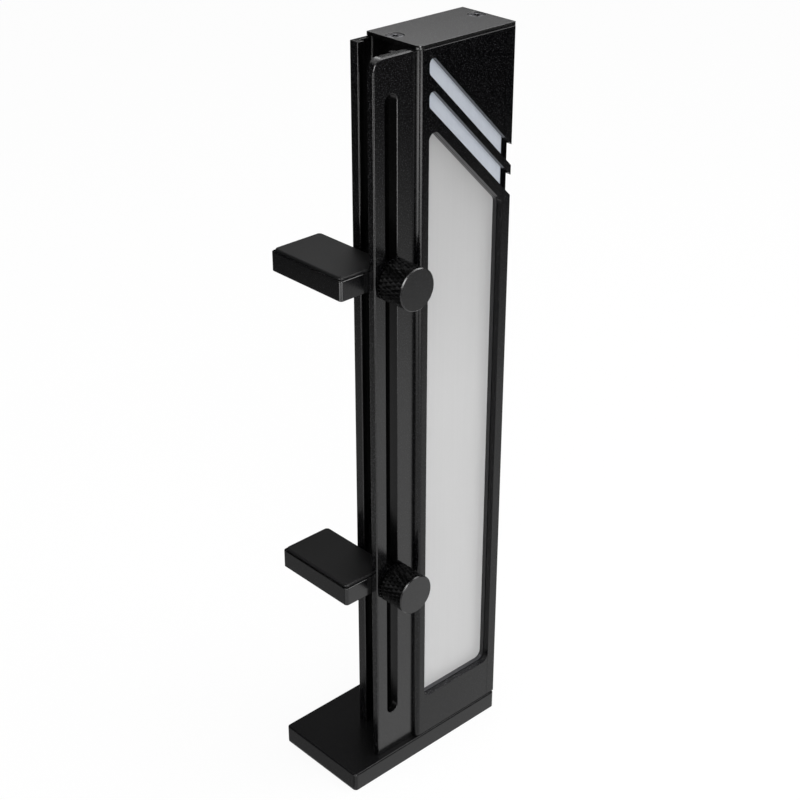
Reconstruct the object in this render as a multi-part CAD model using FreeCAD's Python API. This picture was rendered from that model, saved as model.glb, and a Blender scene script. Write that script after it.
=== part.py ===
import FreeCAD, Part
import math
import os

# Graphics card support bracket: a slotted aluminium tower with a lit window stands on a flat base.
# Two padded arms slide up and down its channel, and a thumb knob clamps each one.
# Sizes are in millimetres. The origin is the centre of the base's underside.
# X runs along the base towards the window side, Y runs to the back, and Z runs up.

# Whole bracket
overall_height = 280.0

# Base plate and what is let into its underside
base_length = 74.7
base_depth = 40.5
base_thickness = 7.35
base_corner_radius = 1.5
base_top_chamfer = 0.45
foot_proud = 0.15
foot_thickness = 1.2
foot_margin = 3.2
foot_corner_radius = 3.0
magnet_length = 20.0
magnet_width = 10.0
magnet_thickness = 3.0

# Housing: the box side of the tower extrusion, with the front panel laid over its open front
housing_width = 42.7
housing_depth = 24.0
housing_end_gap = 0.2
housing_front_gap = 0.4
side_wall = 1.4
back_wall = 1.7
inner_fillet = 0.7
outer_fillet = 0.2
sheet_rib_width = 1.2
sheet_rib_depth = 1.2
port_from_side = 3.15
port_from_back = 9.2
port_wall = 1.3
port_mouth = 1.6
port_web = 4.6

# Rails that form the channel beside the housing
plate_reach = 17.65
plate_thickness = 2.8
plate_chamfer = 0.35
plate_corner_radius = 4.0
slot_from_plate_end = 7.35
slot_width = 5.2
slot_chamfer = 0.15
slot_end_gap_top = 12.0
slot_end_gap_bottom = 17.4
rail_reach = 7.8
lip_width = 2.5
lip_depth = 3.8
lip_chamfer = 0.3
rib_width = 1.9
rib_height = 1.6

# Front panel with its window and the two slanted light slots
panel_thickness = 2.2
panel_lift = 0.4
panel_corner_radius = 2.0
panel_edge_chamfer = 0.15
window_from_left = 4.2
window_from_right = 3.8
window_from_bottom = 17.0
window_from_top = 24.1
window_corner_radius = 3.0
window_point_radius = 2.5
bevel_angle = 45.7
window_bar = 3.6
light_slot_width = 5.05
light_slot_bar = 2.45
light_slot_radius = 1.7

# Sheets and lights inside the housing
frame_thickness = 2.2
frame_groove_depth = 0.4
frame_groove_width = 0.8
diffuser_thickness = 2.0
slot_diffuser_thickness = 1.1
board_width = 10.0
board_thickness = 1.6
board_bottom_gap = 22.0
board_top_gap = 11.0
led_size = 5.0
led_height = 1.6
led_rim = 0.7
led_count = 14
grommet_height = 12.0
grommet_hole = 3.4
grommet_neck = 6.4
grommet_flange = 9.4
grommet_flange_thickness = 1.2

# Top cap
cap_thickness = 1.4
cap_overhang = 0.4

# Screws: countersunk ones hold the cap, and socket heads let into the base hold the tower
screw_diameter = 3.0
screw_grip = 7.0
sunk_head_diameter = 5.5
sunk_head_height = 1.15
sunk_head_drop = 0.2
recess_width = 0.8
recess_length = 3.0
recess_depth = 0.8
socket_head_diameter = 5.5
socket_head_height = 3.0
socket_width = 2.5
socket_depth = 1.5

# Arms
lower_arm_height = 85.1
upper_arm_height = 204.4
arm_reach = 19.5
arm_depth = 35.5
arm_thickness = 7.2
arm_corner_radius = 1.25
arm_edge_chamfer = 0.2
pad_rim = 0.7
pad_gap = 0.45
pad_recess = 0.6
pad_proud = 1.0
pad_corner_radius = 1.6
pad_edge_chamfer = 0.4

# Thumb knob, its stud and washer
knob_diameter = 15.0
knob_length = 11.7
knob_chamfer = 0.35
knob_rim_width = 0.3
knurl_count = 32
knurl_depth = 0.4
knurl_angle = 20.3
stud_diameter = 4.0
stud_in_knob = 8.0
stud_in_arm = 12.0
washer_diameter = 9.0
washer_thickness = 0.8

# Fits
sliding_gap = 0.2
seat_gap = 0.1
pocket_gap = 0.2
screw_gap = 0.05
stud_gap = 0.05

# Places worked out from the sizes above
base_top = foot_proud + base_thickness
tower_top = overall_height - cap_thickness
right_side = base_length / 2 - housing_end_gap
left_side = right_side - housing_width
front_side = -base_depth / 2 + housing_front_gap
back_side = front_side + housing_depth
plate_front = front_side + panel_thickness
plate_back = plate_front + plate_thickness
plate_end = left_side - plate_reach
rail_end = left_side - rail_reach
channel_back = back_side - back_wall
lip_front = back_side - lip_depth
lip_inner = rail_end + lip_width
rib_left = lip_inner - rib_width
rib_top = plate_back + rib_height
slot_x = plate_end + slot_from_plate_end
slot_bottom = base_top + slot_end_gap_bottom
slot_top = tower_top - slot_end_gap_top
inner_left = left_side + side_wall
inner_right = right_side - side_wall
frame_back = plate_front + frame_thickness
diffuser_back = frame_back + diffuser_thickness
port_left_x = left_side + port_from_side
port_right_x = right_side - port_from_side
port_y = back_side - port_from_back
port_radius = screw_diameter / 2 + screw_gap
foot_pocket_top = foot_thickness
bevel = math.radians(bevel_angle)
window_left = left_side + window_from_left
window_right = right_side - window_from_right
window_bottom = base_top + panel_lift + window_from_bottom
window_peak = tower_top - window_from_top
knob_back = plate_front - washer_thickness

UP = FreeCAD.Vector(0, 0, 1)
BACK = FreeCAD.Vector(0, 1, 0)


def flat(z):
    """Give a function that places outline points in the level plane at height z."""
    return lambda u, v: FreeCAD.Vector(u, v, z)


def upright(y):
    """Give a function that places outline points in the plane facing the front, at depth y."""
    return lambda u, v: FreeCAD.Vector(u, y, v)


def rounded_face(points, place):
    """Make a flat face from corners (u, v, radius), each turned by a tangent arc of its radius."""
    corners = [(FreeCAD.Vector(u, v, 0), radius) for u, v, radius in points]
    edges = []
    stops = []
    for index, (corner, radius) in enumerate(corners):
        before = corners[index - 1][0]
        after = corners[(index + 1) % len(corners)][0]
        into = (before - corner).normalize()
        out = (after - corner).normalize()
        if radius <= 0:
            stops.append((corner, corner))
            continue
        half = into.getAngle(out) / 2
        reach = radius / math.tan(half)
        middle = (into + out).normalize() * (radius / math.sin(half) - radius)
        start, end = corner + into * reach, corner + out * reach
        arc = Part.Arc(place(start.x, start.y), place(*(corner + middle)[:2]), place(end.x, end.y))
        edges.append(arc.toShape())
        stops.append((start, end))
    for index, (start, end) in enumerate(stops):
        previous = stops[index - 1][1]
        if (start - previous).Length > 1e-6:
            edges.append(Part.LineSegment(place(previous.x, previous.y), place(start.x, start.y)).toShape())
    return Part.Face(Part.Wire(Part.__sortEdges__(edges)))


def block(x0, x1, y0, y1, z0, z1):
    """Make a box from its limits along each axis."""
    return Part.makeBox(x1 - x0, y1 - y0, z1 - z0, FreeCAD.Vector(x0, y0, z0))


def slab(x0, x1, y0, y1, z0, z1, radius):
    """Make a level plate with rounded upright corners."""
    corners = [(x0, y0, radius), (x1, y0, radius), (x1, y1, radius), (x0, y1, radius)]
    return rounded_face(corners, flat(z0)).extrude(UP * (z1 - z0))


def rod(radius, start, length, direction):
    """Make a round bar from its start along a direction."""
    return Part.makeCylinder(radius, length, start, direction)


def chamfered(shape, size, test):
    """Chamfer the edges that pass the test."""
    return shape.makeChamfer(size, [edge for edge in shape.Edges if test(edge)])


def rounded(shape, radius, test):
    """Round the edges that pass the test."""
    return shape.makeFillet(radius, [edge for edge in shape.Edges if test(edge)])


def level_at(edge, z):
    """Tell whether an edge lies level at height z."""
    box = edge.BoundBox
    return abs(box.ZMin - z) < 1e-4 and abs(box.ZMax - z) < 1e-4


def facing_at(edge, y):
    """Tell whether an edge lies in the plane facing the front at depth y."""
    box = edge.BoundBox
    return abs(box.YMin - y) < 1e-4 and abs(box.YMax - y) < 1e-4


def write(name, shape):
    """Write one node as a STEP file."""
    shape.exportStep(os.path.join("parts", name + ".step"))


def screw_places():
    """List where the screws stand in plan, over the two ports of the extrusion."""
    return [(port_left_x, port_y), (port_right_x, port_y)]


def magnet_places():
    """List the middles of the magnets: one between the base's end and a screw, one between the screws."""
    return [(port_left_x - base_length / 2) / 2, (port_left_x + port_right_x) / 2]


def countersunk_screw(x, y):
    """Make a cross-recessed countersunk screw whose flat head stands just below the cap's top."""
    start = FreeCAD.Vector(x, y, overall_height - sunk_head_drop)
    down = UP * -1
    head = Part.makeCone(sunk_head_diameter / 2, screw_diameter / 2, sunk_head_height, start, down)
    length = cap_thickness - sunk_head_drop + screw_grip
    screw = head.fuse(rod(screw_diameter / 2, start, length, down)).removeSplitter()
    for angle in (0, 90):
        low, high = -recess_length / 2, recess_length / 2
        bar = block(low, high, -recess_width / 2, recess_width / 2, -recess_depth, recess_depth)
        bar.rotate(FreeCAD.Vector(0, 0, 0), UP, angle)
        bar.translate(start)
        screw = screw.cut(bar)
    return screw


def countersink(x, y):
    """Make the cutter for a countersunk screw's seat and hole in the cap."""
    start = FreeCAD.Vector(x, y, overall_height)
    down = UP * -1
    spread = (sunk_head_diameter - screw_diameter) / 2 / sunk_head_height
    depth = sunk_head_drop + sunk_head_height
    seat = Part.makeCone(port_radius + depth * spread, port_radius, depth, start, down)
    return seat.fuse(rod(port_radius, start, cap_thickness, down))


def socket_screw(x, y):
    """Make a socket head screw that stands head down in the base, with its hexagon from below."""
    start = FreeCAD.Vector(x, y, foot_pocket_top)
    head = rod(socket_head_diameter / 2, start, socket_head_height, UP)
    shank = rod(screw_diameter / 2, start, base_top - foot_pocket_top + screw_grip, UP)
    corners = []
    for index in range(7):
        angle = math.radians(60 * index)
        reach = socket_width / math.sqrt(3)
        corners.append(start + FreeCAD.Vector(reach * math.cos(angle), reach * math.sin(angle), 0))
    socket = Part.Face(Part.makePolygon(corners)).extrude(UP * socket_depth)
    return head.fuse(shank).removeSplitter().cut(socket)


def counterbore(x, y):
    """Make the cutter for a socket screw's seat and hole in the base."""
    start = FreeCAD.Vector(x, y, foot_pocket_top)
    seat = rod(socket_head_diameter / 2 + screw_gap, start, socket_head_height, UP)
    return seat.fuse(rod(port_radius, start, base_top - foot_pocket_top, UP))


def base_plate():
    """Make the base: a thick plate with a pocket for the rubber foot below."""
    plate = slab(-base_length / 2, base_length / 2, -base_depth / 2, base_depth / 2,
                 foot_proud, base_top, base_corner_radius)
    plate = chamfered(plate, base_top_chamfer, lambda edge: level_at(edge, base_top))
    margin = foot_margin - pocket_gap
    plate = plate.cut(slab(-base_length / 2 + margin, base_length / 2 - margin,
                           -base_depth / 2 + margin, base_depth / 2 - margin,
                           0, foot_pocket_top, foot_corner_radius))
    for x in magnet_places():
        plate = plate.cut(magnet(x, screw_gap))
    for x, y in screw_places():
        plate = plate.cut(counterbore(x, y))
    return plate


def foot():
    """Make the rubber foot that the bracket stands on."""
    return slab(-base_length / 2 + foot_margin, base_length / 2 - foot_margin,
                -base_depth / 2 + foot_margin, base_depth / 2 - foot_margin,
                0, foot_thickness, foot_corner_radius)


def magnet(x, gap):
    """Make one block magnet, grown on its four sides by a gap to make its pocket."""
    half_length, half_width = magnet_length / 2 + gap, magnet_width / 2 + gap
    return block(x - half_length, x + half_length, -half_width, half_width,
                 foot_pocket_top, foot_pocket_top + magnet_thickness)


def magnets():
    """Make the block magnets between the foot and the base plate."""
    return [magnet(x, 0) for x in magnet_places()]


def extrusion_section():
    """Make the extrusion's section: housing walls, front plate with its rib, rear rail with its lip."""
    points = [
        (plate_end, plate_front, 0),
        (inner_left, plate_front, 0),
        (inner_left, channel_back, inner_fillet),
        (inner_right, channel_back, inner_fillet),
        (inner_right, plate_front, 0),
        (right_side, plate_front, 0),
        (right_side, back_side, outer_fillet),
        (rail_end, back_side, outer_fillet),
        (rail_end, lip_front, 0),
        (lip_inner, lip_front, 0),
        (lip_inner, channel_back, 0),
        (left_side, channel_back, inner_fillet),
        (left_side, plate_back, inner_fillet),
        (lip_inner, plate_back, 0),
        (lip_inner, rib_top, 0),
        (rib_left, rib_top, 0),
        (rib_left, plate_back, 0),
        (plate_end, plate_back, 0),
    ]
    return rounded_face(points, flat(base_top))


def screw_port(x, toward):
    """Make the open round port that a screw bites into, fused to the wall beside it."""
    height = tower_top - base_top
    centre = FreeCAD.Vector(x, port_y, base_top)
    wall_x = inner_left if toward < 0 else inner_right
    radius = port_radius + port_wall
    low, high = sorted((x, wall_x + toward * side_wall / 2))
    web = block(low, high, port_y - port_web / 2, port_y + port_web / 2, base_top, tower_top)
    bore = rod(port_radius, centre, height, UP)
    low, high = sorted((x, x - toward * radius * 2))
    mouth = block(low, high, port_y - port_mouth / 2, port_y + port_mouth / 2, base_top, tower_top)
    return rod(radius, centre, height, UP).fuse(web), bore.fuse(mouth)


def upright_slot():
    """Make the cutter of the clamp slot, with the chamfer round its mouth."""
    half = slot_width / 2
    lower = FreeCAD.Vector(slot_x, plate_front, slot_bottom + half)
    upper = FreeCAD.Vector(slot_x, plate_front, slot_top - half)
    cutter = block(slot_x - half, slot_x + half, plate_front, plate_back, lower.z, upper.z)
    for centre in (lower, upper):
        cutter = cutter.fuse(rod(half, centre, plate_thickness, BACK))
    mouth = Part.makeCone(half + slot_chamfer, half, slot_chamfer, lower, BACK)
    mouth = mouth.fuse(Part.makeCone(half + slot_chamfer, half, slot_chamfer, upper, BACK))
    bevelled = Part.Face(Part.makePolygon([
        FreeCAD.Vector(slot_x - half - slot_chamfer, plate_front, lower.z),
        FreeCAD.Vector(slot_x + half + slot_chamfer, plate_front, lower.z),
        FreeCAD.Vector(slot_x + half, plate_front + slot_chamfer, lower.z),
        FreeCAD.Vector(slot_x - half, plate_front + slot_chamfer, lower.z),
        FreeCAD.Vector(slot_x - half - slot_chamfer, plate_front, lower.z)]))
    return cutter.fuse(mouth).fuse(bevelled.extrude(UP * (upper.z - lower.z)))


def tower():
    """Make the tower extrusion with its slot, screw ports, rounded plate corner and cable hole."""
    height = tower_top - base_top
    body = extrusion_section().extrude(UP * height)
    for x, toward in ((port_left_x, -1), (port_right_x, 1)):
        boss, bore = screw_port(x, toward)
        body = body.fuse(boss).cut(bore)
    rib_front = diffuser_back + seat_gap
    for x0, x1 in ((inner_left - side_wall / 2, inner_left + sheet_rib_width),
                   (inner_right - sheet_rib_width, inner_right + side_wall / 2)):
        body = body.fuse(block(x0, x1, rib_front, rib_front + sheet_rib_depth, base_top, tower_top))
    body = body.removeSplitter()
    corner = block(plate_end, plate_end + plate_corner_radius, plate_front, plate_back,
                   tower_top - plate_corner_radius, tower_top)
    centre = FreeCAD.Vector(plate_end + plate_corner_radius, plate_front, tower_top - plate_corner_radius)
    body = body.cut(corner.cut(rod(plate_corner_radius, centre, plate_thickness, BACK)))
    body = chamfered(body, plate_chamfer, is_plate_rim)
    body = chamfered(body, lip_chamfer, is_lip_corner)
    body = body.cut(upright_slot())
    grommet = FreeCAD.Vector(grommet_x(), channel_back, grommet_height + base_top)
    return body.cut(rod(grommet_neck / 2, grommet, back_wall, BACK))


def is_plate_rim(edge):
    """Tell the front plate's outer front edges: its upright end, round corner and top."""
    if not facing_at(edge, plate_front) or level_at(edge, base_top):
        return False
    return edge.BoundBox.XMin < left_side and edge.BoundBox.XMax < inner_left + 1e-4


def is_lip_corner(edge):
    """Tell the upright edges at the front of the rear rail's lip."""
    box = edge.BoundBox
    upright_edge = box.XLength < 1e-4 and box.YLength < 1e-4
    return upright_edge and abs(box.YMin - lip_front) < 1e-4 and abs(box.XMin - rail_end) < 1e-4


def grommet_x():
    """Give the middle of the housing's inside, where the lights and the cable hole are."""
    return (inner_left + inner_right) / 2


def window_outline():
    """List the window's corners: square below, slanted to a point at its upper left."""
    drop = (window_right - window_left) * math.tan(bevel)
    return [
        (window_left, window_bottom, window_corner_radius),
        (window_right, window_bottom, window_corner_radius),
        (window_right, window_peak - drop, window_corner_radius),
        (window_left, window_peak, window_point_radius),
    ]


def light_slot_outline(index):
    """List one light slot's corners: it starts level with the window and runs out past the right side."""
    rise = 1 / math.cos(bevel)
    lower = window_peak + (window_bar + index * (light_slot_width + light_slot_bar)) * rise
    upper = lower + light_slot_width * rise
    far = right_side + panel_thickness
    drop = (far - window_left) * math.tan(bevel)
    return [
        (window_left, lower, light_slot_radius),
        (far, lower - drop, 0),
        (far, upper - drop, 0),
        (window_left, upper, light_slot_radius),
    ]


def front_panel():
    """Make the front panel, a flat plate with the window and two slots that run out at the right."""
    bottom = base_top + panel_lift
    panel = slab(left_side, right_side, front_side, front_side + panel_thickness, bottom, tower_top, 0)
    panel = rounded(panel, panel_corner_radius, lambda edge: edge.BoundBox.ZLength > housing_width
                    and abs(edge.BoundBox.XMin - left_side) < 1e-4 and facing_at(edge, front_side))
    panel = chamfered(panel, panel_edge_chamfer, lambda edge: level_at(edge, tower_top)
                      and facing_at(edge, front_side))
    through = BACK * panel_thickness
    panel = panel.cut(rounded_face(window_outline(), upright(front_side)).extrude(through))
    for index in (0, 1):
        panel = panel.cut(rounded_face(light_slot_outline(index), upright(front_side)).extrude(through))
    return panel


def light_frame():
    """Make the inner frame that lines the window, with a groove round its edge behind the panel."""
    left, right = inner_left + pocket_gap, inner_right - pocket_gap
    bottom = base_top + panel_lift
    top = window_peak + window_bar / 2 / math.cos(bevel)
    slope = math.tan(bevel)
    outer = [
        (left, bottom, 0),
        (right, bottom, 0),
        (right, top - (right - window_left) * slope, 0),
        (left, top + (window_left - left) * slope, 0),
    ]
    through = BACK * frame_thickness
    ring = rounded_face(outer, upright(plate_front)).extrude(through)
    window = rounded_face(window_outline(), upright(plate_front))
    grown = window.makeOffset2D(frame_groove_width)
    return ring.cut(window.extrude(through)).cut(grown.extrude(BACK * frame_groove_depth))


def window_diffuser():
    """Make the milky sheet that fills the housing behind the window."""
    left, right = inner_left + pocket_gap, inner_right - pocket_gap
    return block(left, right, frame_back, diffuser_back, base_top + panel_lift, tower_top - pocket_gap)


def slot_diffuser():
    """Make the thin milky sheet behind the light slots, laid on the window's sheet."""
    left, right = inner_left + pocket_gap, inner_right - pocket_gap
    bottom = window_peak + (window_bar / 2 / math.cos(bevel)) + pocket_gap
    slope = math.tan(bevel)
    outer = [
        (left, bottom + (window_left - left) * slope, 0),
        (right, bottom - (right - window_left) * slope, 0),
        (right, tower_top - pocket_gap, 0),
        (left, tower_top - pocket_gap, 0),
    ]
    face = rounded_face(outer, upright(frame_back - slot_diffuser_thickness))
    return face.extrude(BACK * slot_diffuser_thickness)


def led_board():
    """Make the strip of circuit board on the housing's back wall."""
    x = grommet_x()
    return block(x - board_width / 2, x + board_width / 2, channel_back - board_thickness, channel_back,
                 base_top + board_bottom_gap, tower_top - board_top_gap)


def leds():
    """Make the row of light packages along the board."""
    bottom, top = base_top + board_bottom_gap, tower_top - board_top_gap
    pitch = (top - bottom) / led_count
    front = channel_back - board_thickness - led_height
    x = grommet_x()
    packages = []
    for index in range(led_count):
        z = bottom + pitch * (index + 0.5)
        half, inner = led_size / 2, led_size / 2 - led_rim
        package = block(x - half, x + half, front, front + led_height, z - half, z + half)
        dish = block(x - inner, x + inner, front, front + led_rim / 2, z - inner, z + inner)
        packages.append(package.cut(dish))
    return packages


def cable_grommet():
    """Make the rubber grommet that lines the cable hole, turned about the hole's axis."""
    hole, neck, flange = grommet_hole / 2, grommet_neck / 2 - screw_gap, grommet_flange / 2
    inner, outer, thickness = channel_back, back_side, grommet_flange_thickness
    profile = [
        (hole, inner - thickness), (flange, inner - thickness), (flange, inner), (neck, inner),
        (neck, outer), (flange, outer), (flange, outer + thickness), (hole, outer + thickness),
    ]
    points = [FreeCAD.Vector(r, y, 0) for r, y in profile + profile[:1]]
    ring = Part.Face(Part.makePolygon(points)).revolve(FreeCAD.Vector(0, 0, 0), BACK, 360)
    ring.translate(FreeCAD.Vector(grommet_x(), 0, grommet_height + base_top))
    return ring


def top_cap():
    """Make the cap, a thin plate over the housing, held by two countersunk screws."""
    left, right = left_side - cap_overhang, right_side
    front, back = front_side, back_side + cap_overhang
    corners = [(left, front, panel_corner_radius), (right, front, outer_fillet),
               (right, back, outer_fillet), (left, back, outer_fillet)]
    cap = rounded_face(corners, flat(tower_top)).extrude(UP * cap_thickness)
    for x, y in screw_places():
        cap = cap.cut(countersink(x, y))
    return cap


def cap_screws():
    """Make the two screws that hold the cap."""
    return [countersunk_screw(x, y) for x, y in screw_places()]


def base_screws():
    """Make the two screws that hold the tower to the base from below."""
    return [socket_screw(x, y) for x, y in screw_places()]


def arm_limits():
    """Give the arm block's plan: left, right at the back, right at the front, front and back."""
    left = slot_x - arm_reach
    front = plate_back + seat_gap
    return left, rail_end - sliding_gap, rib_left - sliding_gap, front, front + arm_depth


def arm(height):
    """Make one arm: a flat block, and a T-shaped tongue that runs in the channel."""
    left, right_back, right_front, front, back = arm_limits()
    shoulder = lip_front - sliding_gap
    neck_front = rib_top + sliding_gap
    head_left = lip_inner + sliding_gap
    head_right = left_side - sliding_gap
    head_back = channel_back - sliding_gap
    tip = inner_fillet
    points = [
        (left, front, arm_corner_radius),
        (right_front, front, 0),
        (right_front, neck_front, 0),
        (head_left, neck_front, 0),
        (head_left, front + seat_gap, 0),
        (head_right, front + seat_gap, tip),
        (head_right, head_back, tip),
        (head_left, head_back, 0),
        (head_left, shoulder, 0),
        (right_back, shoulder, 0),
        (right_back, back, arm_corner_radius),
        (left, back, arm_corner_radius),
    ]
    bottom, top = height - arm_thickness / 2, height + arm_thickness / 2
    body = rounded_face(points, flat(bottom)).extrude(UP * arm_thickness)
    body = chamfered(body, arm_edge_chamfer, lambda edge: edge.BoundBox.XMax < right_back + 1e-4
                     and (level_at(edge, top) or level_at(edge, bottom)))
    rim = pad_rim - pad_gap
    recess = slab(left + rim, right_back - rim, front + rim, back - rim,
                  top - pad_recess, top, pad_corner_radius)
    stud_start = FreeCAD.Vector(slot_x, front, height)
    bore = rod(stud_diameter / 2 + stud_gap, stud_start, stud_in_arm + sliding_gap, BACK)
    return body.cut(recess).cut(bore)


def arm_pad(height):
    """Make the rubber pad let into the arm's top."""
    left, right_back, right_front, front, back = arm_limits()
    top = height + arm_thickness / 2
    pad = slab(left + pad_rim, right_back - pad_rim, front + pad_rim, back - pad_rim,
               top - pad_recess, top + pad_proud, pad_corner_radius)
    return chamfered(pad, pad_edge_chamfer, lambda edge: level_at(edge, top + pad_proud))


def knurled_drum(front, back):
    """Make a drum with a diamond knurl: right- and left-hand V grooves cross and leave small pyramids.

    The grooves cross at every second point of a net round the drum, and a pyramid's tip stands at
    each point between, so every mesh of the net is folded along the groove that runs through it.
    At each end the net runs out on a plain rim at the full diameter, and a chamfer leads from
    this rim to the flat face."""
    around = 2 * knurl_count
    step = math.pi / knurl_count
    radius = knob_diameter / 2
    run_out = knob_chamfer + knob_rim_width
    low, high = front + run_out, back - run_out
    rows = round((high - low) / (radius * step / math.tan(math.radians(knurl_angle))))
    row = (high - low) / rows

    def on_ring(i, y, reach):
        return FreeCAD.Vector(reach * math.cos(i * step), y, reach * math.sin(i * step))

    def on_net(i, j):
        return on_ring(i, low + j * row, radius - (knurl_depth if (i + j) % 2 else 0))

    def facet(*corners):
        return Part.Face(Part.makePolygon([*corners, corners[0]]))

    faces = []
    for i in range(around):
        for j in range(rows):
            a, b = on_net(i, j), on_net(i + 1, j)
            c, d = on_net(i + 1, j + 1), on_net(i, j + 1)
            if (i + j) % 2:
                faces += [facet(a, b, c), facet(a, c, d)]
            else:
                faces += [facet(a, b, d), facet(b, c, d)]
    for y, inward, j in ((front, 1, 0), (back, -1, rows)):
        face = [on_ring(i, y, radius - knob_chamfer) for i in range(around)]
        rim = [on_ring(i, y + inward * knob_chamfer, radius) for i in range(around)]
        faces.append(facet(*face))
        for i in range(around):
            n = (i + 1) % around
            faces += [facet(face[i], face[n], rim[n], rim[i]), facet(rim[i], rim[n], on_net(i, j)),
                      facet(rim[n], on_net(i, j), on_net(i + 1, j))]
    return Part.makeSolid(Part.makeShell(faces))


def knob():
    """Make the thumb knob at height zero: a knurled drum with flat faces and a bore for its stud."""
    drum = knurled_drum(knob_back - knob_length, knob_back)
    start = FreeCAD.Vector(0, knob_back - stud_in_knob, 0)
    drum = drum.cut(rod(stud_diameter / 2, start, stud_in_knob, BACK))
    drum.translate(FreeCAD.Vector(slot_x, 0, 0))
    return drum


def stud(height):
    """Make the stud that joins the knob to the arm."""
    start = FreeCAD.Vector(slot_x, knob_back - stud_in_knob, height)
    end = plate_back + seat_gap + stud_in_arm
    length = end - start.y
    return rod(stud_diameter / 2, start, length, BACK)


def washer(height):
    """Make the plain washer between the knob and the slotted plate."""
    start = FreeCAD.Vector(slot_x, knob_back, height)
    disc = rod(washer_diameter / 2, start, washer_thickness, BACK)
    return disc.cut(rod(stud_diameter / 2 + sliding_gap, start, washer_thickness, BACK))


os.makedirs("parts", exist_ok=True)

write("base_plate", base_plate())
write("base_foot", foot())
write("base_magnets", Part.makeCompound(magnets()))
write("base_screws", Part.makeCompound(base_screws()))
write("tower_extrusion", tower())
write("front_panel", front_panel())
write("light_frame", light_frame())
write("window_diffuser", window_diffuser())
write("slot_diffuser", slot_diffuser())
write("led_board", led_board())
write("leds", Part.makeCompound(leds()))
write("cable_grommet", cable_grommet())
write("top_cap", top_cap())
write("cap_screws", Part.makeCompound(cap_screws()))

thumb_knob = knob()
for side, arm_height in (("upper", upper_arm_height), ("lower", lower_arm_height)):
    write(side + "_arm", arm(arm_height))
    write(side + "_arm_pad", arm_pad(arm_height))
    write(side + "_knob", thumb_knob.translated(UP * arm_height))
    write(side + "_stud", stud(arm_height))
    write(side + "_washer", washer(arm_height))
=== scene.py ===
import math

import bpy
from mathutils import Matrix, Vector

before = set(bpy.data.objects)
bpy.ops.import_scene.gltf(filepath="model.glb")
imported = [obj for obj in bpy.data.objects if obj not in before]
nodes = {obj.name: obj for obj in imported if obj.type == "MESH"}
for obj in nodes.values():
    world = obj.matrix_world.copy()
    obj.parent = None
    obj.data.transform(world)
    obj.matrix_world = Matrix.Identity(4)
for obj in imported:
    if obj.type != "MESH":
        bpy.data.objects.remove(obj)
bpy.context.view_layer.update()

# Base plate
# The bracket stands on a thick aluminium plate. It is milled, chamfered round the top, blasted
# with fine grit and then anodised black.

MM = 0.001
weld_reach = 0.001 * MM
sharp_angle = math.radians(30)


def linear(hex_colour):
    """Turn an sRGB hex colour into the linear values that a shader takes."""
    channels = [int(hex_colour[start:start + 2], 16) / 255 for start in (1, 3, 5)]
    return [c / 12.92 if c <= 0.04045 else ((c + 0.055) / 1.055) ** 2.4 for c in channels] + [1.0]


def add_node(tree, kind, settings=None, **sockets):
    """Add a node with its settings. A socket goes by its name, or by its number after an underscore,
    and takes a value, or a (node, output) pair to link."""
    node = tree.nodes.new(kind)
    for name, value in (settings or {}).items():
        setattr(node, name, value)
    for name, value in sockets.items():
        socket = node.inputs[int(name[1:])] if name[0] == "_" else node.inputs[name.replace("_", " ")]
        if isinstance(value, tuple) and isinstance(value[0], bpy.types.Node):
            tree.links.new(value[0].outputs[value[1]], socket)
        else:
            socket.default_value = value
    return node


def start_material(name, metallic, roughness, ior=1.5):
    """Start a material with its fixed values, and give it with its node tree and surface shader."""
    material = bpy.data.materials.new(name)
    material.use_nodes = True
    surface = material.node_tree.nodes["Principled BSDF"]
    surface.inputs["Metallic"].default_value = metallic
    surface.inputs["Roughness"].default_value = roughness
    surface.inputs["IOR"].default_value = ior
    return material, material.node_tree, surface


def finish_node(node_name, material, broken_edge=0.0):
    """Give a CAD node its finish, and break its sharp edges by a hair as blasting does."""
    piece = nodes[node_name]
    for index in range(len(piece.data.materials)):
        piece.data.materials[index] = material
    if broken_edge:
        weld = piece.modifiers.new("joined_faces", "WELD")
        weld.merge_threshold = weld_reach
        edges = piece.modifiers.new("broken_edges", "BEVEL")
        edges.width = broken_edge
        edges.segments = 2
        edges.limit_method = "ANGLE"
        edges.angle_limit = sharp_angle
        edges.use_clamp_overlap = False
        shading = piece.modifiers.new("even_faces", "WEIGHTED_NORMAL")
        shading.keep_sharp = False


# Blasted aluminium under black anodising. The dye sits in a glassy oxide that covers the metal, so
# the eye sees a dark glaze with a soft sheen and the blasted pits as fine grey grain. Real pits are
# 0.1 mm wide, and here they are drawn 0.36 mm wide to show. The sheen varies in broad clouds.
pit_width = 0.36 * MM
pit_depth = 0.02 * MM
cloud_width = 30 * MM
grain_from, grain_to = 0.54, 0.74
sheen_spread = 0.04


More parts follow.
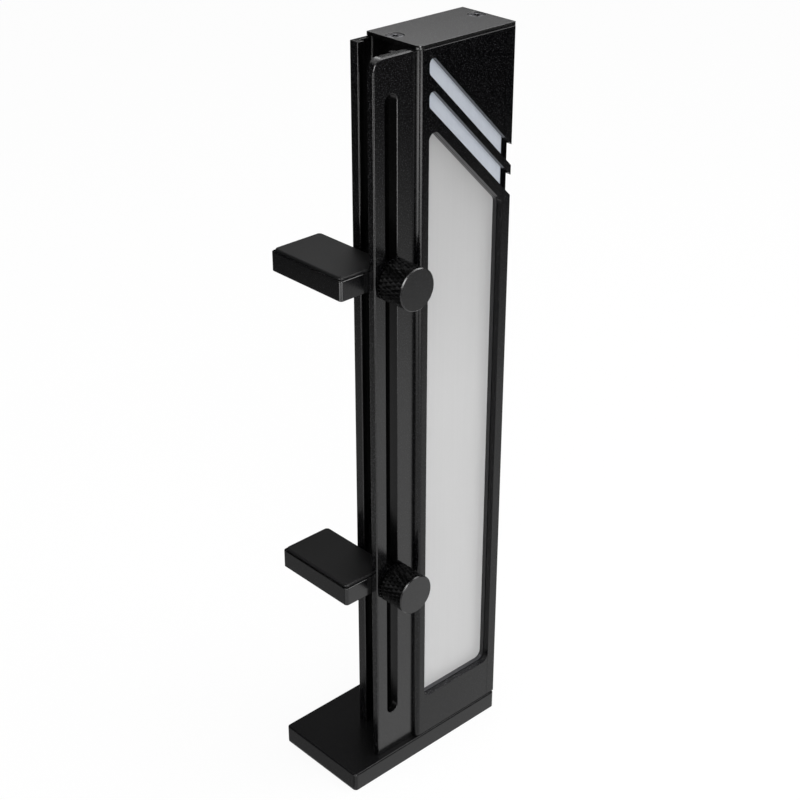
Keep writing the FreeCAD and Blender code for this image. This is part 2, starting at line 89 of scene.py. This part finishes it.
def anodised_aluminium(name, dark, light, roughness, relief, ior=1.5):
    """Make blasted aluminium under black anodising, from its darkest to its lightest grain."""
    material, tree, surface = start_material(name, metallic=0.0, roughness=roughness, ior=ior)
    place = add_node(tree, "ShaderNodeTexCoord")
    pits = add_node(tree, "ShaderNodeTexNoise", Vector=(place, "Object"), Scale=1 / pit_width, Detail=2.0)
    grain = add_node(tree, "ShaderNodeMapRange", Value=(pits, 0), From_Min=grain_from, From_Max=grain_to)
    colour = add_node(tree, "ShaderNodeMix", {"data_type": "RGBA"},
                      _0=(grain, 0), _6=linear(dark), _7=linear(light))
    clouds = add_node(tree, "ShaderNodeTexNoise",
                      Vector=(place, "Object"), Scale=1 / cloud_width, Detail=3.0)
    sheen = add_node(tree, "ShaderNodeMapRange", Value=(clouds, 0),
                     To_Min=roughness - sheen_spread, To_Max=roughness + sheen_spread)
    pitted = add_node(tree, "ShaderNodeBump", Height=(pits, 0), Strength=relief, Distance=pit_depth)
    tree.links.new(colour.outputs[2], surface.inputs["Base Color"])
    tree.links.new(sheen.outputs[0], surface.inputs["Roughness"])
    tree.links.new(pitted.outputs[0], surface.inputs["Normal"])
    return material


base_black = anodised_aluminium("anodised_aluminium_milled_base", "#141415", "#212122",
                                roughness=0.24, relief=0.15, ior=1.35)
finish_node("base_plate", base_black, broken_edge=0.12 * MM)


# Rubber foot with the magnets above it
# A moulded rubber mat is let into the base's underside so that the bracket doesn't slip, and two
# nickel-plated block magnets behind it pull the base onto the steel floor of the case.

# Moulded black rubber: dull, with a faint bloom and the fine texture of its mould.
bloom_width = 8 * MM
rubber_grain_width = 0.4 * MM
rubber_grain_depth = 0.02 * MM
rubber, tree, surface = start_material("rubber_moulded", metallic=0.0, roughness=0.75, ior=1.52)
place = add_node(tree, "ShaderNodeTexCoord")
bloom = add_node(tree, "ShaderNodeTexNoise", Vector=(place, "Object"), Scale=1 / bloom_width, Detail=4.0)
colour = add_node(tree, "ShaderNodeMix", {"data_type": "RGBA"},
                  _0=(bloom, 0), _6=linear("#151515"), _7=linear("#242424"))
grain = add_node(tree, "ShaderNodeTexNoise",
                 Vector=(place, "Object"), Scale=1 / rubber_grain_width, Detail=2.0)
relief = add_node(tree, "ShaderNodeBump", Height=(grain, 0), Strength=0.4, Distance=rubber_grain_depth)
tree.links.new(colour.outputs[2], surface.inputs["Base Color"])
tree.links.new(relief.outputs[0], surface.inputs["Normal"])
finish_node("base_foot", rubber, broken_edge=0.15 * MM)

# Nickel plate: bright and slightly warm, with faint handling scuffs.
scuff_width = 2 * MM
nickel, tree, surface = start_material("nickel_plated", metallic=1.0, roughness=0.22)
place = add_node(tree, "ShaderNodeTexCoord")
scuffs = add_node(tree, "ShaderNodeTexNoise", Vector=(place, "Object"), Scale=1 / scuff_width, Detail=5.0)
colour = add_node(tree, "ShaderNodeMix", {"data_type": "RGBA"},
                  _0=(scuffs, 0), _6=linear("#b9b3a8"), _7=linear("#cfcac0"))
sheen = add_node(tree, "ShaderNodeMapRange", Value=(scuffs, 0), To_Min=0.14, To_Max=0.34)
tree.links.new(colour.outputs[2], surface.inputs["Base Color"])
tree.links.new(sheen.outputs[0], surface.inputs["Roughness"])
finish_node("base_magnets", nickel, broken_edge=0.2 * MM)


# Base screws
# Two socket head screws of black-oxide steel stand head down in the base and pull the tower onto
# it from below, before the foot is glued in over them.

# Steel under black oxide: a dark metal with a faint blue-grey shine, and duller in small patches.
oxide_patch_width = 0.6 * MM
screw_steel, tree, surface = start_material("steel_black_oxide_screw", metallic=1.0, roughness=0.28)
place = add_node(tree, "ShaderNodeTexCoord")
oxide = add_node(tree, "ShaderNodeTexNoise",
                 Vector=(place, "Object"), Scale=1 / oxide_patch_width, Detail=4.0)
colour = add_node(tree, "ShaderNodeMix", {"data_type": "RGBA"},
                  _0=(oxide, 0), _6=linear("#454548"), _7=linear("#68686c"))
sheen = add_node(tree, "ShaderNodeMapRange", Value=(oxide, 0), To_Min=0.20, To_Max=0.38)
tree.links.new(colour.outputs[2], surface.inputs["Base Color"])
tree.links.new(sheen.outputs[0], surface.inputs["Roughness"])
finish_node("base_screws", screw_steel, broken_edge=0.08 * MM)


# Tower extrusion
# One aluminium extrusion forms the open-fronted housing, the slotted front plate and the rear rail
# with its lip, which leave a channel between them. It is sawn, milled, blasted and anodised black.

def set_apart(material, output, zone_limits, share, rougher=0.0, metallic=0.0):
    """Set one zone of a material apart: its colour becomes a share of the rest's, and its roughness
    and metallic grow by what is given. A share above 1 makes it lighter.

    The zone is where the output's coordinates, named by their axes, lie within their limits."""
    tree = material.node_tree
    surface = tree.nodes["Principled BSDF"]
    place = add_node(tree, "ShaderNodeTexCoord")
    parts = add_node(tree, "ShaderNodeSeparateXYZ", Vector=(place, output))
    zone = None
    for axis, (low, high) in zone_limits.items():
        within = add_node(tree, "ShaderNodeMath", {"operation": "COMPARE"},
                          _0=(parts, axis), _1=(low + high) / 2, _2=(high - low) / 2)
        if zone:
            within = add_node(tree, "ShaderNodeMath", {"operation": "MULTIPLY"},
                              _0=(zone, 0), _1=(within, 0))
        zone = within
    shared = add_node(tree, "ShaderNodeMix", {"data_type": "RGBA", "blend_type": "MULTIPLY"},
                      _0=(zone, 0), _7=(share, share, share, 1))
    tree.links.new(surface.inputs["Base Color"].links[0].from_socket, shared.inputs[6])
    tree.links.new(shared.outputs[2], surface.inputs["Base Color"])
    for name, change in (("Roughness", rougher), ("Metallic", metallic)):
        socket = surface.inputs[name]
        if change:
            changed = add_node(tree, "ShaderNodeMath", {"operation": "MULTIPLY_ADD"},
                               _0=(zone, 0), _1=change, _2=socket.default_value)
            if socket.is_linked:
                tree.links.new(socket.links[0].from_socket, changed.inputs[2])
            tree.links.new(changed.outputs[0], socket)


tower_black = anodised_aluminium("anodised_aluminium_extruded_tower", "#030304", "#424244",
                                 roughness=0.21, relief=0.4)

# Painted shade: the slot and the channel are darkened to a small share of the outside's colour, for the
# shade that falls deep inside them.
slot_painted_shade = {"X": (-18.6 * MM, -13.1 * MM), "Y": (-17.4 * MM, -14.0 * MM)}
channel_painted_shade = {"X": (-13.1 * MM, -5.4 * MM), "Y": (-14.9 * MM, 2.5 * MM)}
set_apart(tower_black, "Object", slot_painted_shade, share=0.15)
set_apart(tower_black, "Object", channel_painted_shade, share=0.15)

# The side wall's front end shows where the light slots run out at the side. It carries painted shade: its
# colour is darkened and it is made a dark metal, which reflects less than the glaze does, so that it stays
# black.
side_wall_end_painted_shade = {"X": (35.0 * MM, 37.0 * MM), "Y": (-17.8 * MM, -16.0 * MM)}
set_apart(tower_black, "Object", side_wall_end_painted_shade, share=0.3, metallic=1.0)
finish_node("tower_extrusion", tower_black, broken_edge=0.1 * MM)


# Light strip
# A strip of circuit board stands on the housing's back wall, with a row of light packages that
# light the sheets from behind.

# Glass-fibre laminate under white solder mask: a satin white with the weave faintly raised.
weave_width = 0.5 * MM
weave_depth = 0.01 * MM
tone_width = 6 * MM
laminate, tree, surface = start_material("glass_fibre_laminate", metallic=0.0, roughness=0.35, ior=1.55)
place = add_node(tree, "ShaderNodeTexCoord")
weave = add_node(tree, "ShaderNodeTexChecker", Vector=(place, "Object"), Scale=1 / weave_width)
tone = add_node(tree, "ShaderNodeTexNoise", Vector=(place, "Object"), Scale=1 / tone_width, Detail=2.0)
colour = add_node(tree, "ShaderNodeMix", {"data_type": "RGBA"},
                  _0=(tone, 0), _6=linear("#d8d8d2"), _7=linear("#e4e4e0"))
relief = add_node(tree, "ShaderNodeBump", Height=(weave, "Fac"), Strength=0.2, Distance=weave_depth)
tree.links.new(colour.outputs[2], surface.inputs["Base Color"])
tree.links.new(relief.outputs[0], surface.inputs["Normal"])
finish_node("led_board", laminate)

# Moulded package filled with phosphor gel: creamy yellow and glossy.
phosphor_width = 0.8 * MM
package, tree, surface = start_material("moulded_light_package", metallic=0.0, roughness=0.2)
place = add_node(tree, "ShaderNodeTexCoord")
phosphor = add_node(tree, "ShaderNodeTexNoise",
                    Vector=(place, "Object"), Scale=1 / phosphor_width, Detail=3.0)
colour = add_node(tree, "ShaderNodeMix", {"data_type": "RGBA"},
                  _0=(phosphor, 0), _6=linear("#e2d998"), _7=linear("#efe8bc"))
tree.links.new(colour.outputs[2], surface.inputs["Base Color"])
finish_node("leds", package, broken_edge=0.08 * MM)


# Light sheets
# A milky acrylic sheet fills the housing behind the window, and a thinner bluish one lies on it
# behind the two slanted slots. They are sawn from cast sheet and spread the light evenly.

# Opal acrylic: a satin white in which light spreads a little below the surface. It also glows by painted
# light, an emission though no lamp lights it, and this painted glow fades towards the top. Its white
# pigment leaves faint upright streaks, drawn 1.2 mm wide.
streak_width = 1.2 * MM
streak_length = 60 * MM
fade_starts = 150 * MM
fade_ends = 245 * MM
share_at_top = 0.5
depth_of_glow = 2 * MM


def opal_acrylic(name, shade, tint, glow):
    """Make milky acrylic with faint upright streaks and a painted glow, as if lit from behind."""
    material, tree, surface = start_material(name, metallic=0.0, roughness=0.38, ior=1.49)
    place = add_node(tree, "ShaderNodeTexCoord")
    stretched = add_node(tree, "ShaderNodeMapping", Vector=(place, "Object"),
                         Scale=(1 / streak_width, 1 / streak_width, 1 / streak_length))
    streaks = add_node(tree, "ShaderNodeTexNoise", Vector=(stretched, 0), Scale=1.0, Detail=2.0)
    colour = add_node(tree, "ShaderNodeMix", {"data_type": "RGBA"},
                      _0=(streaks, 0), _6=linear(shade), _7=linear(tint))
    tree.links.new(colour.outputs[2], surface.inputs["Base Color"])
    tree.links.new(colour.outputs[2], surface.inputs["Emission Color"])
    height = add_node(tree, "ShaderNodeSeparateXYZ", Vector=(place, "Object"))
    painted_glow_fade = add_node(tree, "ShaderNodeMapRange", Value=(height, "Z"),
                    From_Min=fade_starts, From_Max=fade_ends, To_Min=glow, To_Max=glow * share_at_top)
    tree.links.new(painted_glow_fade.outputs[0], surface.inputs["Emission Strength"])
    surface.inputs["Subsurface Weight"].default_value = 0.3
    surface.inputs["Subsurface Radius"].default_value = (1.0, 1.0, 1.0)
    surface.inputs["Subsurface Scale"].default_value = depth_of_glow
    return material


window_opal = opal_acrylic("acrylic_opal_cast", "#bcbcbc", "#c0c0c0", glow=0.42)
slot_opal = opal_acrylic("acrylic_bluish_cast", "#cdd3dd", "#d6dce5", glow=0.46)
finish_node("window_diffuser", window_opal, broken_edge=0.1 * MM)
finish_node("slot_diffuser", slot_opal, broken_edge=0.1 * MM)


# Light frame
# A moulded black frame lines the window behind the panel and presses the milky sheet home. A
# groove between the two shows as a dark line round the window.

# Moulded ABS: black with a satin shine and the fine texture of its mould.
mould_texture_width = 0.3 * MM
mould_texture_depth = 0.01 * MM
abs_black, tree, surface = start_material("abs_moulded", metallic=0.0, roughness=0.35, ior=1.45)
place = add_node(tree, "ShaderNodeTexCoord")
texture = add_node(tree, "ShaderNodeTexNoise",
                   Vector=(place, "Object"), Scale=1 / mould_texture_width, Detail=2.0)
colour = add_node(tree, "ShaderNodeMix", {"data_type": "RGBA"},
                  _0=(texture, 0), _6=linear("#161618"), _7=linear("#1e1e20"))
relief = add_node(tree, "ShaderNodeBump", Height=(texture, 0), Strength=0.3, Distance=mould_texture_depth)
tree.links.new(colour.outputs[2], surface.inputs["Base Color"])
tree.links.new(relief.outputs[0], surface.inputs["Normal"])

# Painted light: its sill and its slanted wall over the window are painted paler, for the glow of the sheet
# that falls on them, and are glossier than its upright walls.
upward_faces = {"Z": (0.6, 1.1)}
downward_faces = {"Z": (-1.1, -0.5)}
set_apart(abs_black, "Normal", upward_faces, share=5.0, rougher=-0.15)
set_apart(abs_black, "Normal", downward_faces, share=3.0, rougher=-0.2)
finish_node("light_frame", abs_black)


# Front panel
# A flat aluminium panel covers the housing's front, with the window and two slanted light slots
# milled through it. Its left edge is rounded over, and it is blasted and anodised black.

panel_black = anodised_aluminium("anodised_aluminium_milled_panel", "#010102", "#363638",
                                 roughness=0.19, relief=0.4, ior=1.34)

# The window's right wall is made part metal, which reflects less while it is this dark. Its level faces,
# such as the window's sill, are painted paler, a painted light for the glow of the sheet that falls on
# them, and the slanted walls over the window and the light slots are glossier.
window_right_wall = {"X": (33.1 * MM, 33.5 * MM)}
level_faces = {"Z": (0.9, 1.1)}
set_apart(panel_black, "Object", window_right_wall, share=1.0, metallic=0.5)
set_apart(panel_black, "Normal", level_faces, share=4.0)
set_apart(panel_black, "Normal", downward_faces, share=1.0, rougher=-0.12)
finish_node("front_panel", panel_black, broken_edge=0.06 * MM)


# Cable grommet
# A moulded rubber grommet snaps into a hole low on the housing's back, where it guards the cable of
# the light against the hole's edge.

finish_node("cable_grommet", rubber, broken_edge=0.1 * MM)


# Top cap with its screws
# A thin aluminium cap closes the housing, blasted coarser than the rest. Two countersunk
# cross-head screws of black-oxide steel hold it, and their heads stand just below its top.

cap_black = anodised_aluminium("anodised_aluminium_stamped_cap", "#050506", "#555557",
                               roughness=0.40, relief=0.9)

# The cap's top keeps its grain. Painted shade: its sides and countersinks are darkened to a small share of
# the top's colour and made smoother, and the screws below the tops of their heads are darkened too, for the
# shade where little light reaches.
cap_sides_painted_shade = {"Z": (-0.9, 0.9)}
screws_painted_shade = {"Z": (270 * MM, 279.74 * MM)}
set_apart(cap_black, "Normal", cap_sides_painted_shade, share=0.15, rougher=-0.15)
set_apart(screw_steel, "Object", screws_painted_shade, share=0.08, rougher=0.1)
finish_node("top_cap", cap_black, broken_edge=0.1 * MM)
finish_node("cap_screws", screw_steel, broken_edge=0.1 * MM)


# Arms with their pads
# Each arm is a flat aluminium block that slides in the channel on a T-shaped tongue. A rubber pad
# is glued into its top so that it doesn't mark the card.

arm_black = anodised_aluminium("anodised_aluminium_milled_arm", "#050506", "#262628",
                               roughness=0.19, relief=0.3)
finish_node("upper_arm", arm_black, broken_edge=0.08 * MM)
finish_node("lower_arm", arm_black, broken_edge=0.08 * MM)

# Silicone rubber: nearly black, with a soft sheen and a fine grain, and rounded at its edges.
pad_grain_width = 0.5 * MM
pad_grain_depth = 0.02 * MM
pad_rubber, tree, surface = start_material("silicone_rubber_moulded", metallic=0.0, roughness=0.5, ior=1.37)
place = add_node(tree, "ShaderNodeTexCoord")
grain = add_node(tree, "ShaderNodeTexNoise",
                 Vector=(place, "Object"), Scale=1 / pad_grain_width, Detail=2.0)
colour = add_node(tree, "ShaderNodeMix", {"data_type": "RGBA"},
                  _0=(grain, 0), _6=linear("#0b0b0c"), _7=linear("#171718"))
relief = add_node(tree, "ShaderNodeBump", Height=(grain, 0), Strength=0.35, Distance=pad_grain_depth)
tree.links.new(colour.outputs[2], surface.inputs["Base Color"])
tree.links.new(relief.outputs[0], surface.inputs["Normal"])
finish_node("upper_arm_pad", pad_rubber, broken_edge=0.25 * MM)
finish_node("lower_arm_pad", pad_rubber, broken_edge=0.25 * MM)


# Clamp studs and washers
# A steel stud joins each knob to its arm through the slot, and a steel washer spreads the clamp's
# pull on the plate. Both are black oxide over turned steel.

# Turned steel under black oxide: dark, with rings from the lathe. Real rings are about 0.1 mm
# apart, and here they are drawn 1.9 mm apart. At a scale of 1 the pattern's bands are 2 pi / 20
# metres apart.
ring_spacing = 1.885 * MM
ring_depth = 0.01 * MM
spacing_at_scale_1 = math.tau / 20
turned_steel, tree, surface = start_material("steel_black_oxide_turned", metallic=1.0, roughness=0.3)
place = add_node(tree, "ShaderNodeTexCoord")
rings = add_node(tree, "ShaderNodeTexWave", {"wave_type": "BANDS", "bands_direction": "Y"},
                 Vector=(place, "Object"), Scale=spacing_at_scale_1 / ring_spacing, Distortion=0.5)
colour = add_node(tree, "ShaderNodeMix", {"data_type": "RGBA"},
                  _0=(rings, "Fac"), _6=linear("#3c3c3e"), _7=linear("#4c4c4f"))
relief = add_node(tree, "ShaderNodeBump", Height=(rings, "Fac"), Strength=0.3, Distance=ring_depth)
tree.links.new(colour.outputs[2], surface.inputs["Base Color"])
tree.links.new(relief.outputs[0], surface.inputs["Normal"])
for node_name in ("upper_stud", "lower_stud", "upper_washer", "lower_washer"):
    finish_node(node_name, turned_steel)


# Thumb knobs
# Each knob is a turned aluminium drum with a diamond knurl, which two toothed wheels press into
# it, and a plain chamfered rim. It is anodised black over the whole.

knob_black = anodised_aluminium("anodised_aluminium_knurled_knob", "#040405", "#2a2a2c",
                                roughness=0.24, relief=0.2)

# Painted shade: the knurl behind the plain rim is darkened and made part metal, which reflects less while
# it is this dark, so that it stays blacker than the face, and blacker still at the drum's back end.
knurl_painted_shade = {"Y": (-29.45 * MM, 0.0)}
back_end_painted_shade = {"Y": (-19.7 * MM, 0.0)}
set_apart(knob_black, "Object", knurl_painted_shade, share=0.6, metallic=0.6)
set_apart(knob_black, "Object", back_end_painted_shade, share=0.5, rougher=0.1, metallic=0.4)
finish_node("upper_knob", knob_black)
finish_node("lower_knob", knob_black)


# Studio
# The bracket stands on a white paper floor in an even white room. Two softboxes give soft shade,
# and black and lit cards round it, seen only in its reflections, draw its edges.

def seen_directly(tree):
    """Give the node that is 1 for rays that see a surface directly, in a mirror or through glass."""
    path = add_node(tree, "ShaderNodeLightPath")
    seen = add_node(tree, "ShaderNodeMath", {"operation": "MAXIMUM"},
                    _0=(path, "Is Camera Ray"), _1=(path, "Is Glossy Ray"))
    return add_node(tree, "ShaderNodeMath", {"operation": "MAXIMUM"},
                    _0=(seen, 0), _1=(path, "Is Transmission Ray"))


def stage_sheet(name, corners, faces, material):
    """Put up a sheet of the studio, such as the floor or a card, from its corners and faces."""
    mesh = bpy.data.meshes.new(name)
    mesh.from_pydata(corners, [], faces)
    mesh.materials.append(material)
    sheet = bpy.data.objects.new(name, mesh)
    bpy.context.scene.collection.objects.link(sheet)
    return sheet


# White paper: matt, with a soft shadow that fades into the white background. Seen directly, it
# glows by most of its light, so that its far part meets the white room without a line.
paper_glow = 0.86
glow_strength = 1.06
fibre_width = 5 * MM
paper, tree, surface = start_material("white_paper", metallic=0.0, roughness=0.8)
place = add_node(tree, "ShaderNodeTexCoord")
fibres = add_node(tree, "ShaderNodeTexNoise", Vector=(place, "Object"), Scale=1 / fibre_width, Detail=3.0)
colour = add_node(tree, "ShaderNodeMix", {"data_type": "RGBA"},
                  _0=(fibres, 0), _6=linear("#f2f2f2"), _7=linear("#f5f5f5"))
tree.links.new(colour.outputs[2], surface.inputs["Base Color"])
share = add_node(tree, "ShaderNodeMath", {"operation": "MULTIPLY"},
                 _0=(seen_directly(tree), 0), _1=paper_glow)
glow = add_node(tree, "ShaderNodeEmission", Color=(1, 1, 1, 1), Strength=glow_strength)
lit_paper = add_node(tree, "ShaderNodeMixShader", Fac=(share, 0), _1=(surface, 0), _2=(glow, 0))
tree.links.new(lit_paper.outputs[0], tree.nodes["Material Output"].inputs["Surface"])
floor_reach = 3.0
floor_corners = [(x * floor_reach, y * floor_reach, 0) for x, y in ((-1, -1), (1, -1), (1, 1), (-1, 1))]
stage_sheet("floor", floor_corners, [(0, 1, 2, 3)], paper)

room_level = 0.45
world = bpy.data.worlds.new("white_room")
bpy.context.scene.world = world
world.use_nodes = True
tree = world.node_tree
background = tree.nodes["Background"]
background.inputs["Color"].default_value = (1, 1, 1, 1)
level = add_node(tree, "ShaderNodeMapRange", Value=(seen_directly(tree), 0), To_Min=room_level, To_Max=1.0)
tree.links.new(level.outputs[0], background.inputs["Strength"])

bracket_middle = Vector((0, 0, 0.14))


def softbox(name, place, size, power):
    """Hang a square softbox that points at the bracket's middle."""
    light = bpy.data.lights.new(name, "AREA")
    light.size = size
    light.energy = power
    lamp = bpy.data.objects.new(name, light)
    lamp.location = place
    lamp.rotation_euler = (bracket_middle - Vector(place)).to_track_quat("-Z", "Y").to_euler()
    bpy.context.scene.collection.objects.link(lamp)


softbox("overhead_softbox", place=(0.30, -0.22, 0.95), size=0.5, power=2.4)
softbox("key_softbox", place=(-0.6, -0.9, 0.8), size=0.6, power=3.0)


def card_light(name, low, high, foot=0.0, top=1.0):
    """Make a card's finish, whose light goes from low at the foot's height to high at the top's."""
    material = bpy.data.materials.new(name)
    material.use_nodes = True
    tree = material.node_tree
    tree.nodes.remove(tree.nodes["Principled BSDF"])
    place = add_node(tree, "ShaderNodeTexCoord")
    height = add_node(tree, "ShaderNodeSeparateXYZ", Vector=(place, "Object"))
    light = add_node(tree, "ShaderNodeMapRange", {"interpolation_type": "SMOOTHSTEP"}, Value=(height, "Z"),
                     From_Min=foot, From_Max=top, To_Min=low, To_Max=high)
    glow = add_node(tree, "ShaderNodeEmission", Color=(1, 1, 1, 1), Strength=(light, 0))
    tree.links.new(glow.outputs[0], tree.nodes["Material Output"].inputs["Surface"])
    return material


degrees_a_step = 6


def card(name, material, bearings, reaches, heights):
    """Stand or lay a card round the bracket, from one bearing to another in degrees from +X.

    Each of its two long edges has a reach from the bracket's middle and a height, in metres."""
    start, end = bearings
    steps = max(2, round(abs(end - start) / degrees_a_step))
    corners = []
    for step in range(steps + 1):
        bearing = math.radians(start + (end - start) * step / steps)
        for reach, height in zip(reaches, heights):
            corners.append((math.cos(bearing) * reach, math.sin(bearing) * reach, height))
    faces = [(corner, corner + 2, corner + 3, corner + 1) for corner in range(0, 2 * steps, 2)]
    sheet = stage_sheet(name, corners, faces, material)
    sheet.visible_camera = False
    sheet.visible_diffuse = False
    sheet.visible_shadow = False
    sheet.visible_transmission = False


# The front faces reflect the black card, which is pale at its foot, so that they darken upward as in the
# photograph. The faces that look left reflect the grey card, and low down the grey floor cards, a painted
# shade of the floor beside the bracket that only its reflections see.
front_black = card_light("black_card", low=0.76, high=0.0, top=0.175)
left_grey = card_light("grey_card", low=0.22, high=0.03, top=0.11)
floor_grey = card_light("grey_floor_card", low=0.3, high=0.3)
card("black_card_front", front_black, bearings=(178, 455), reaches=(0.34, 0.34), heights=(0.001, 0.55))
card("grey_card_left", left_grey, bearings=(95, 178), reaches=(0.34, 0.34), heights=(0.001, 0.55))
on_the_floor = (0.0008, 0.0008)
card("grey_card_floor", floor_grey, bearings=(95, 178), reaches=(0.004, 0.34), heights=on_the_floor)
card("grey_card_floor_near", floor_grey, bearings=(178, 207), reaches=(0.004, 0.054), heights=on_the_floor)

# The upright rounded edges reflect two lit cards as thin lines, and the broken edges that look a
# little upward reflect the rim card.
edge_light = card_light("edge_card", low=1.2, high=7.0, top=0.21)
rim_light = card_light("rim_card", low=14.0, high=14.0)
card("edge_card_left", edge_light, bearings=(176, 213), reaches=(0.30, 0.30), heights=(0.0, 0.20))
card("edge_card_right", edge_light, bearings=(236, 269), reaches=(0.30, 0.30), heights=(0.0, 0.20))
card("rim_card", rim_light, bearings=(230, 254), reaches=(0.32, 0.32), heights=(0.25, 0.44))

# The cap's rough top takes its sheen from the rear card, the tops lower down from the low one, and
# the grain high on the front from the right one.
rear_light = card_light("rear_card", low=2.7, high=2.7)
low_rear_light = card_light("low_rear_card", low=0.22, high=0.22)
right_light = card_light("right_card", low=3.5, high=8.0, foot=0.28, top=0.42)
card("rear_card", rear_light, bearings=(8, 70), reaches=(0.28, 0.28), heights=(0.40, 0.52))
card("low_rear_card", low_rear_light, bearings=(20, 80), reaches=(0.33, 0.33), heights=(0.22, 0.30))
card("right_card", right_light, bearings=(-60, -20), reaches=(0.31, 0.31), heights=(0.25, 0.50))


# Camera
# It looks down on the bracket from its left front, with the distance and lens that make the
# tower's upright edges run as they do in the photograph.

camera_bearing = math.radians(-42.95)
camera_height = math.radians(28.36)
camera_distance = 573.68 * MM
aim = Vector((-0.11, -4.85, 148.45)) * MM
away = Vector((math.sin(camera_bearing) * math.cos(camera_height),
               -math.cos(camera_bearing) * math.cos(camera_height),
               math.sin(camera_height)))
camera = bpy.data.objects.new("camera", bpy.data.cameras.new("camera"))
camera.location = aim + away * camera_distance
camera.rotation_euler = away.to_track_quat("Z", "Y").to_euler()
camera.data.sensor_width = 36.0
camera.data.lens = 72.87
camera.data.clip_start = 0.01
bpy.context.scene.collection.objects.link(camera)
bpy.context.scene.camera = camera
bpy.context.scene.view_settings.view_transform = "Standard"
